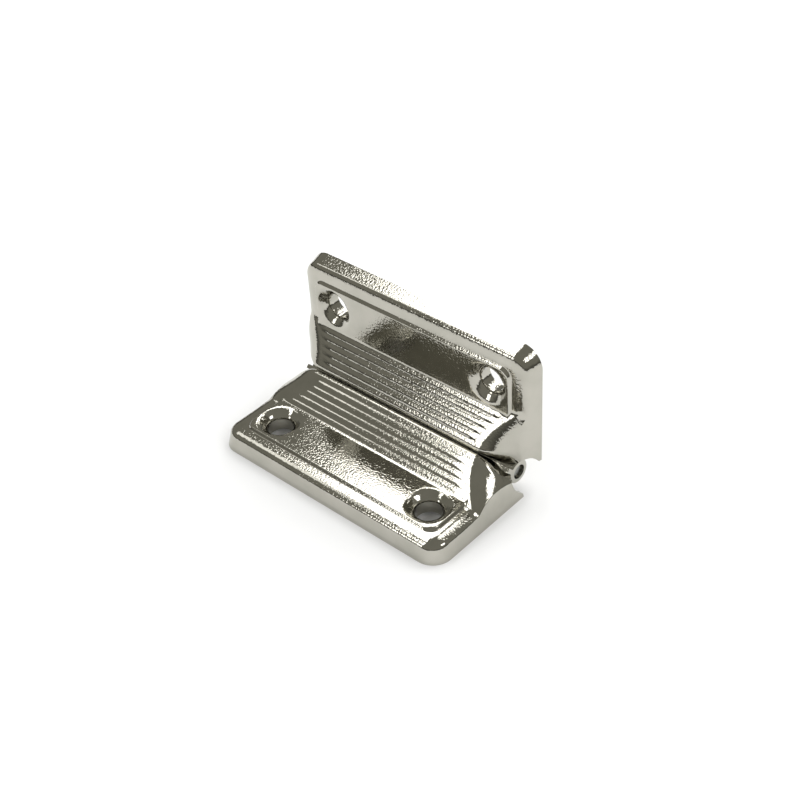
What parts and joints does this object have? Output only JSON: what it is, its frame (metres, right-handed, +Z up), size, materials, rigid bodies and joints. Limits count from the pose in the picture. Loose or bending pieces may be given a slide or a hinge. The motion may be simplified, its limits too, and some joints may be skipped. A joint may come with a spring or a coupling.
{
  "type": "case hinge",
  "caption": "Pressed sheet-metal case hinge: mirrored hollow leaves with dished screw holes and ribbed ridges that meet as a right-angle stop, turning on a pin in rolled knuckles.",
  "frame": {"origin": "bottom centre of the hinge's box at its right-angle stop, on the lower leaf's mounting plane", "axes": "+X along the pin, +Y towards the upper leaf's mounting plane, +Z up, away from the lower leaf's mounting plane"},
  "size_m": [0.042, 0.0226, 0.0226],
  "materials": {
    "nickel_plate": "bright nickel plate on pressed steel",
    "pin_steel": "nickel plated wire pin"
  },
  "bodies": {
    "lower": {"lower_leaf": "nickel_plate", "hinge_pin": "pin_steel"},
    "upper": {"upper_leaf": "nickel_plate"}
  },
  "joints": [
    {"name": "leaf_hinge", "type": "hinge", "parent": "lower", "child": "upper", "pos_m": [0, 0.0083, 0.003], "axis": [-1, 0, 0], "range_deg": [0, 90]}
  ]
}
